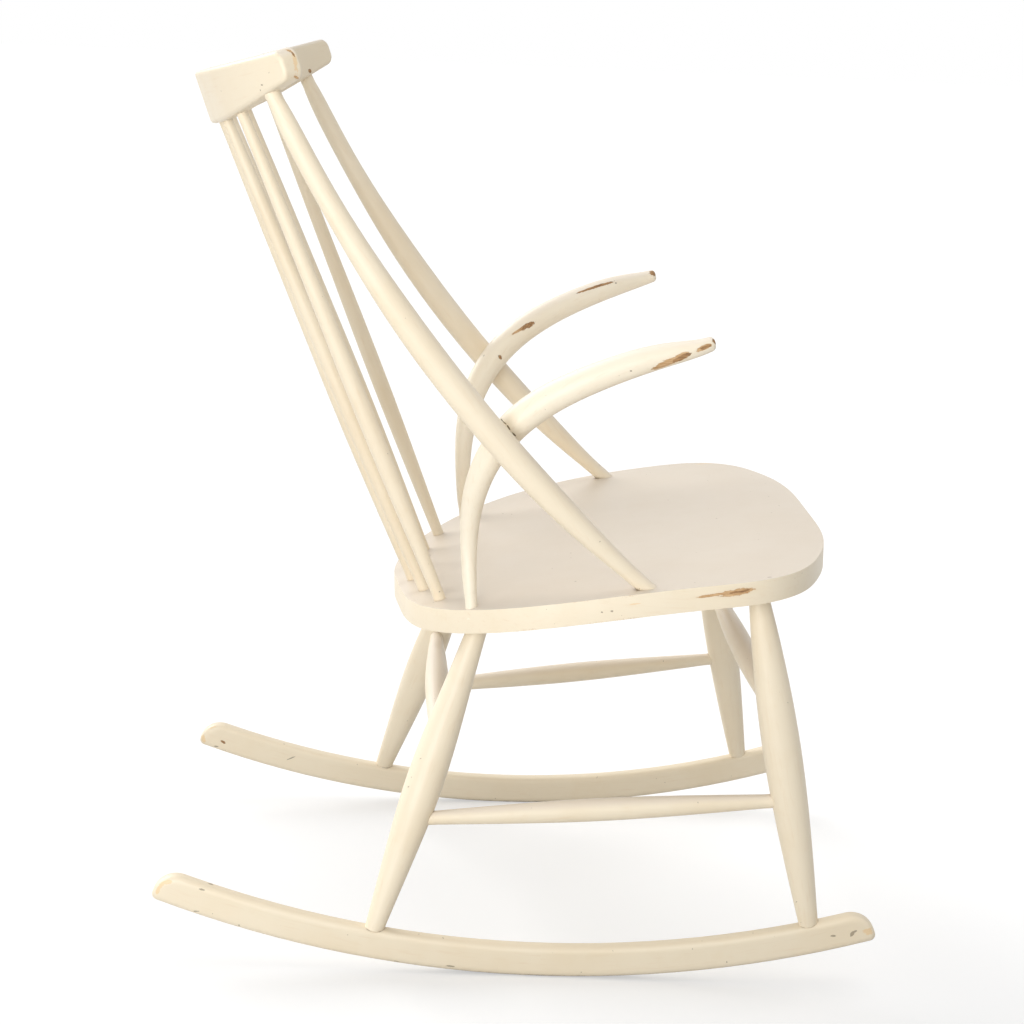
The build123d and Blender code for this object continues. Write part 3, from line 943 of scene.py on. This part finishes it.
@dataclass
class Seat:
    """The scooped board."""

    paint: CreamPaint
    arch_radius: float = 1.690
    crown_y: float = -0.365
    crown_z: float = 0.436
    thickness: float = 0.024
    swell: float = 1.004  # the board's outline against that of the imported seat
    top_edge: float = 0.0025
    top_segments: int = 4
    bottom_edge: float = 0.0070
    bottom_segments: int = 6
    broad_rim: float = 0.0010
    hollow_depth: float = 0.005
    hollow_softness: float = 0.12
    hollow_half_width: float = 0.222
    hollow_half_length: float = 0.180
    hollow_y: float = -0.125
    cell: float = 0.009
    grain: Grain = Grain((0.0, 0.0, 0.43), (0.0, 1.0, 0.0))

    def dress(self) -> None:
        """Build and paint the seat."""
        dress("seat", self.paint, self.grain, self._marks(), self._board())

    def _marks(self) -> tuple[Mark, ...]:
        """List the worn places of the seat, most of them along its rim.

        Returns:
            Its marks.
        """
        rim = (0.0, -0.98, 0.19)
        return (
            Mark(Wear.RUBBED, (-0.2672, -0.2010, 0.4274), 0.0190, 0.0033, rim),
            Mark(Wear.RUBBED, (-0.2670, -0.1820, 0.4244), 0.0250, 0.0014, rim),
            Mark(Wear.KNOCKED, (-0.2672, -0.2030, 0.4279), 0.0130, 0.0012, rim),
            Mark(Wear.THINNED, (-0.2620, -0.1067, 0.4117), 0.0200, 0.0007, rim),
            Mark(Wear.NICK, (-0.2587, -0.0800, 0.4017), 0.0014, 0.0010),
            Mark(Wear.NICK, (-0.2571, -0.0703, 0.3999), 0.0012, 0.0009),
            Mark(Wear.NICK, (-0.2554, -0.2333, 0.4396), 0.0034, 0.0009, rim),
            Mark(Wear.NICK, (-0.2627, -0.1680, 0.4303), 0.0046, 0.0007, rim),
            Mark(Wear.NICK, (-0.2066, -0.2855, 0.4390), 0.0030, 0.0009, (0.87, -0.48, 0.0)),
            Mark(Wear.KNOCKED, (-0.1780, -0.2965, 0.4390), 0.0050, 0.0011, (0.93, -0.36, 0.0)),
            Mark(Wear.THINNED, (-0.1300, -0.3080, 0.4415), 0.0260, 0.0011, (0.98, -0.20, 0.0)),
            Mark(Wear.RUBBED, (0.0600, -0.3180, 0.4400), 0.0230, 0.0016, (1.0, 0.05, 0.0)),
            Mark(Wear.RUBBED, (0.2672, -0.1400, 0.4190), 0.0220, 0.0022, rim),
            Mark(Wear.NICK, (0.2560, -0.0400, 0.3970), 0.0030, 0.0010, rim),
            Mark(Wear.THINNED, (0.2550, -0.2310, 0.4390), 0.0240, 0.0012, rim),
            Mark(Wear.THINNED, (-0.0900, 0.1610, 0.3560), 0.0300, 0.0012, (1.0, 0.1, 0.0)),
        )

    def _board(self) -> bpy.types.Object:
        """Build the board flat, round its edges, then bend and hollow it.

        Returns:
            The board.
        """
        packed = solid_work("seat")
        plan = [corner.co.xy for corner in packed.verts]
        outline = [plan[number] * self.swell for number in convex_hull_2d(plan)]
        packed.free()

        work = bmesh.new()
        top = work.faces.new([work.verts.new((*corner, 0.0)) for corner in outline])
        thicken(work, top, Vector((0.0, 0.0, -self.thickness)))
        upper = max(broad_faces(work), key=self._height)
        round_edges(work, list(upper.edges), self.top_edge, self.top_segments)
        under = min(broad_faces(work), key=self._height)
        round_edges(work, list(under.edges), self.bottom_edge, self.bottom_segments)
        bmesh.ops.inset_individual(work, faces=broad_faces(work), thickness=self.broad_rim)
        self._slice(work)
        for corner in work.verts:
            corner.co.z = self._bent(corner.co)
        bmesh.ops.transform(work, matrix=TO_REST, verts=work.verts)
        return place_piece("seat_board", work, "seat")

    @staticmethod
    def _height(face: bmesh.types.BMFace) -> float:
        """Tell how high a face of the flat board lies."""
        return face.calc_center_median().z

    def _slice(self, work: bmesh.types.BMesh) -> None:
        """Cut the board into small cells, so that it can bend.

        Args:
            work: the board.
        """
        for square in (Vector((1.0, 0.0, 0.0)), Vector((0.0, 1.0, 0.0))):
            spans = [corner.co.dot(square) for corner in work.verts]
            low, high = min(spans), max(spans)
            count = int((high - low) / self.cell)
            for number in range(1, count):
                everything = [*work.verts, *work.edges, *work.faces]
                start = square * (low + (high - low) * number / count)
                bmesh.ops.bisect_plane(work, geom=everything, plane_co=start, plane_no=square)

    def _bent(self, corner: Vector) -> float:
        """Work out a point's height on the arched and hollowed board.

        Args:
            corner: the point on the flat board, whose top is at height 0.

        Returns:
            Its height.
        """
        radius = self.arch_radius + corner.z
        height = self.crown_z - self.arch_radius
        height += math.sqrt(radius**2 - (corner.y - self.crown_y) ** 2)
        across = corner.x / self.hollow_half_width
        along = (corner.y - self.hollow_y) / self.hollow_half_length
        deep = max(0.0, 1.0 - across**2 - along**2)
        on_top = 1.0 + corner.z / self.thickness
        soft = self.hollow_softness
        return height - on_top * self.hollow_depth * (1.0 + soft) * deep**2 / (deep + soft)


@dataclass
class Arms:
    """The two bent arms, each from the seat round to a flat tip."""

    paint: CreamPaint
    bend_centre: Point = (0.0, -0.150, 0.480)
    bend_radius: float = 0.20

    def dress(self) -> None:
        """Paint both arms."""
        grain = Grain(self.bend_centre, (1.0, 0.0, 0.0), bent=True, radius=self.bend_radius)
        for side in Side:
            dress(f"arm_{side.value}", self.paint, grain, self._marks(side))

    def _marks(self, side: Side) -> tuple[Mark, ...]:
        """List the worn places of one arm.

        Args:
            side: which arm.

        Returns:
            Its marks.
        """
        if side is Side.LEFT:
            return (
                Mark(Wear.KNOCKED, (0.2500, -0.1605, 0.6740), 0.0050, 0.0042, (0.0, -0.9, -0.3)),
                Mark(Wear.KNOCKED, (0.2388, -0.0930, 0.6562), 0.0260, 0.0017, (0.16, -0.93, 0.30)),
                Mark(Wear.KNOCKED, (0.2165, -0.0110, 0.6095), 0.0100, 0.0030, (0.23, -0.86, 0.46)),
                Mark(Wear.RUBBED, (0.2140, -0.0040, 0.6060), 0.0140, 0.0018, (0.23, -0.84, 0.50)),
                Mark(Wear.KNOCKED, (0.2029, 0.0208, 0.5731), 0.0028, 0.0018, (0.0, 0.6, 0.8)),
                Mark(Wear.NICK, (0.2415, -0.1157, 0.6609), 0.0012, 0.0010),
                Mark(Wear.THINNED, (0.2640, -0.1310, 0.6560), 0.0160, 0.0024, (0.15, -0.86, 0.49)),
                Mark(Wear.KNOCKED, (0.2650, -0.1500, 0.6655), 0.0060, 0.0013, (-0.1, -0.9, 0.42)),
            )
        along = (-0.15, -0.86, 0.49)
        return (
            Mark(Wear.RUBBED, (-0.2622, -0.1190, 0.6505), 0.0180, 0.0038, along),
            Mark(Wear.RUBBED, (-0.2641, -0.1300, 0.6560), 0.0110, 0.0040, along),
            Mark(Wear.KNOCKED, (-0.2641, -0.1315, 0.6560), 0.0100, 0.0026, along),
            Mark(Wear.RUBBED, (-0.2651, -0.1530, 0.6672), 0.0090, 0.0025, (0.1, -0.90, 0.42)),
            Mark(Wear.KNOCKED, (-0.2650, -0.1550, 0.6680), 0.0070, 0.0015, (0.1, -0.90, 0.42)),
            Mark(Wear.KNOCKED, (-0.2600, -0.1640, 0.6725), 0.0045, 0.0026),
            Mark(Wear.NICK, (-0.2599, -0.0849, 0.6412), 0.0012, 0.0009),
            Mark(Wear.SEAM, (-0.2265, 0.0332, 0.5814), 0.0066, 0.0008, (0.82, 0.47, 0.31)),
            Mark(Wear.SEAM, (-0.2322, 0.0250, 0.5730), 0.0130, 0.0009, (0.0, 0.64, 0.77)),
            Mark(Wear.THINNED, (-0.2300, -0.0300, 0.6080), 0.0180, 0.0012, (-0.2, -0.80, 0.55)),
        )


@dataclass
class Back:
    """The crest rail, the two bowed uprights and the six spindles."""

    paint: CreamPaint
    crest_paint: CreamPaint
    spindles: int = 6
    crest_bend_centre: Point = (0.0, -0.110, 1.055)
    crest_axis: Point = (0.0, 0.336, 0.942)
    crest_bend_radius: float = 0.466

    def dress(self) -> None:
        """Paint the crest, the uprights and the spindles."""
        grain = Grain(self.crest_bend_centre, self.crest_axis, True, self.crest_bend_radius)
        dress("crest_rail", self.crest_paint, grain, self._crest_marks())
        uprights = [f"upright_{side.value}" for side in Side]
        spindles = [f"spindle_{number}" for number in range(1, self.spindles + 1)]
        for name in (*uprights, *spindles):
            dress(name, self.paint, straight_grain(name))

    def _crest_marks(self) -> tuple[Mark, ...]:
        """List the worn places of the crest rail, most of them at its ends.

        Returns:
            Its marks.
        """
        down = (0.0, -0.45, -0.89)
        return (
            Mark(Wear.KNOCKED, (-0.2924, 0.2388, 0.9238), 0.0050, 0.0010, down),
            Mark(Wear.RUBBED, (-0.2912, 0.2425, 0.9262), 0.0060, 0.0014, (0.0, -0.8, -0.6)),
            Mark(Wear.THINNED, (-0.2936, 0.2368, 0.9170), 0.0110, 0.0022, (0.0, -0.15, -0.99)),
            Mark(Wear.THINNED, (-0.2935, 0.2385, 0.9080), 0.0060, 0.0018, (0.0, 0.2, -0.98)),
            Mark(Wear.RUBBED, (-0.2905, 0.2350, 0.9025), 0.0045, 0.0012, (0.8, -0.4, -0.3)),
            Mark(Wear.KNOCKED, (0.2495, 0.2536, 0.8928), 0.0042, 0.0026),
            Mark(Wear.NICK, (-0.2687, 0.2677, 0.8941), 0.0018, 0.0009, (0.8, 0.6, 0.0)),
            Mark(Wear.NICK, (-0.2640, 0.2700, 0.8890), 0.0012, 0.0009),
            Mark(Wear.THINNED, (0.2936, 0.2390, 0.9150), 0.0120, 0.0016, (0.0, -0.15, -0.99)),
            Mark(Wear.RUBBED, (0.1000, 0.3330, 0.8890), 0.0160, 0.0010, (0.96, -0.25, 0.0)),
        )


@dataclass
class Room:
    """The pale floor and the white round it."""

    floor_half_width: float = 40.0
    floor_colour: Colour = (0.57, 0.57, 0.57)
    floor_lift: float = 0.49
    ambient: float = 0.44

    def build(self) -> None:
        """Lay the floor and light the white round it."""
        sheet = bmesh.new()
        bmesh.ops.create_grid(sheet, x_segments=1, y_segments=1, size=self.floor_half_width)
        mesh = bpy.data.meshes.new("floor")
        sheet.to_mesh(mesh)
        sheet.free()
        floor = bpy.data.objects.new("floor", mesh)
        bpy.context.scene.collection.objects.link(floor)
        mesh.materials.append(self._floor_material())
        floor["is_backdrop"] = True
        self._light_the_white()
        log.info("floor and white backdrop laid")

    def _seen_directly(self, bench: NodeBench) -> Socket:
        """Tell the rays that show the backdrop from those that only carry its light.

        Args:
            bench: the nodes of the floor or the world.

        Returns:
            1 for what the camera sees, also in gloss and through glass.
        """
        ray = bench.add("ShaderNodeLightPath").outputs
        seen = bench.calc("MAXIMUM", ray["Is Camera Ray"], ray["Is Glossy Ray"])
        return bench.calc("MAXIMUM", seen, ray["Is Transmission Ray"])

    def _floor_material(self) -> bpy.types.Material:
        """Make the floor's pale finish, which keeps the chair's shadow.

        Returns:
            The material.
        """
        made = bpy.data.materials.new("pale_floor")
        bench = NodeBench(made)
        matt = bench.add("ShaderNodeBsdfDiffuse", {"Color": self.floor_colour})
        lift = bench.calc("MULTIPLY", self._seen_directly(bench), self.floor_lift)
        glow = bench.add("ShaderNodeEmission", {"Color": WHITE, "Strength": lift})
        both = bench.add("ShaderNodeAddShader", {0: matt.outputs[0], 1: glow.outputs[0]})
        bench.add("ShaderNodeOutputMaterial", {"Surface": both.outputs[0]})
        return made

    def _light_the_white(self) -> None:
        """Fill the world with soft light that is seen as white."""
        world = bpy.data.worlds.new("white_room")
        bpy.context.scene.world = world
        world.use_nodes = True
        bench = NodeBench(world)
        seen = self._seen_directly(bench)
        strength = bench.calc("ADD", self.ambient, bench.calc("MULTIPLY", seen, 1.0 - self.ambient))
        light = bench.add("ShaderNodeBackground", {"Color": WHITE, "Strength": strength})
        bench.add("ShaderNodeOutputWorld", {"Surface": light.outputs[0]})


@dataclass(frozen=True)
class FarLamp:
    """A lamp far off with a wide soft face, which lights the whole room evenly."""

    name: str
    comes_from: Point
    spread: float
    strength: float

    def build(self) -> None:
        """Hang the lamp and turn it to the chair."""
        data = bpy.data.lights.new(self.name, "SUN")
        data.angle = math.radians(self.spread)
        data.energy = self.strength
        lamp = bpy.data.objects.new(self.name, data)
        lamp.rotation_mode = "QUATERNION"
        lamp.rotation_quaternion = Vector(self.comes_from).to_track_quat("Z", "Y")
        bpy.context.scene.collection.objects.link(lamp)
        log.info("%s hung", self.name)


@dataclass(frozen=True)
class NearLamp:
    """A square softbox close to the chair, which lights the chair and not the floor."""

    name: str
    place: Point
    size: float
    power: float
    aim: Point = (0.0, 0.0, 0.6)

    def build(self, lit: bpy.types.Collection) -> None:
        """Hang the lamp and turn it to the chair.

        Args:
            lit: the pieces that it lights.
        """
        data = bpy.data.lights.new(self.name, "AREA")
        data.shape = "SQUARE"
        data.size = self.size
        data.energy = self.power
        lamp = bpy.data.objects.new(self.name, data)
        lamp.location = self.place
        lamp.rotation_mode = "QUATERNION"
        lamp.rotation_quaternion = (Vector(self.place) - Vector(self.aim)).to_track_quat("Z", "Y")
        bpy.context.scene.collection.objects.link(lamp)
        lamp.light_linking.receiver_collection = lit
        log.info("%s hung", self.name)


@dataclass
class Studio:
    """The lamps and the camera."""

    far_lamps: tuple[FarLamp, ...] = (
        FarLamp("overhead_light", (0.15, -0.30, 1.0), 50.0, 0.80),
        FarLamp("window_light", (0.66, 0.68, 0.6), 40.0, 2.10),
    )
    near_lamps: tuple[NearLamp, ...] = (
        NearLamp("side_softbox", (-1.7, 0.9, 0.6), 1.1, 18.0),
        NearLamp("front_softbox", (-1.8, 0.2, 1.3), 1.1, 6.0),
    )
    eye: Point = (-2.13640, 0.12041, 0.96314)
    heading: float = -2.378
    dip: float = 13.984
    lens: float = 70.3125
    film_width: float = 36.0

    def build(self) -> None:
        """Hang the lamps, stand the camera up and set how colours are shown."""
        lit = bpy.data.collections.new("chair")
        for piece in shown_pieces():
            lit.objects.link(piece)
        for lamp in self.far_lamps:
            lamp.build()
        for lamp in self.near_lamps:
            lamp.build(lit)
        self._stand_camera()
        bpy.context.scene.view_settings.view_transform = "Standard"

    def _stand_camera(self) -> None:
        """Stand the camera up level, and roll it as the chair is rolled to its balance."""
        heading, dip = math.radians(self.heading), math.radians(self.dip)
        ahead = math.cos(dip)
        look = Vector((ahead * math.cos(heading), ahead * math.sin(heading), -math.sin(dip)))
        level = look.to_track_quat("-Z", "Y").to_matrix()
        data = bpy.data.cameras.new("camera")
        data.sensor_width = self.film_width
        data.lens = self.lens
        camera = bpy.data.objects.new("camera", data)
        turned = Matrix.Rotation(REST_ROLL, 3, "X") @ level
        camera.matrix_world = Matrix.LocRotScale(Vector(self.eye), turned.to_quaternion(), None)
        bpy.context.scene.collection.objects.link(camera)
        bpy.context.scene.camera = camera
        log.info("camera stands at %s", self.eye)


def main() -> None:
    """Dress the chair from the floor up, then set the studio round it."""
    logging.basicConfig(level=logging.INFO, format="%(name)s: %(message)s")
    paint = CreamPaint()
    # Painted light and shade: darker tops for the seat, the runners and the crest, a darker cream
    # for the crest, and a lighter cream for the arms
    seat_top_shaded = replace(paint, top_shading=(0.60, 0.53, 0.455))
    runner_top_shaded = replace(paint, top_shading=(0.74, 0.64, 0.48), softness=0.0065)
    crest_shaded = replace(paint, cream=(0.81, 0.71, 0.54), top_shading=(0.72, 0.64, 0.54))
    handled = replace(paint, cream=(0.87, 0.785, 0.63), yellowed=(0.83, 0.715, 0.53))
    parts = (
        Runners(runner_top_shaded),
        Underframe(paint),
        Seat(seat_top_shaded),
        Arms(handled),
        Back(paint, crest_shaded),
    )
    for part in parts:
        part.dress()
    Room().build()
    Studio().build()


if __name__ == "__main__":
    main()
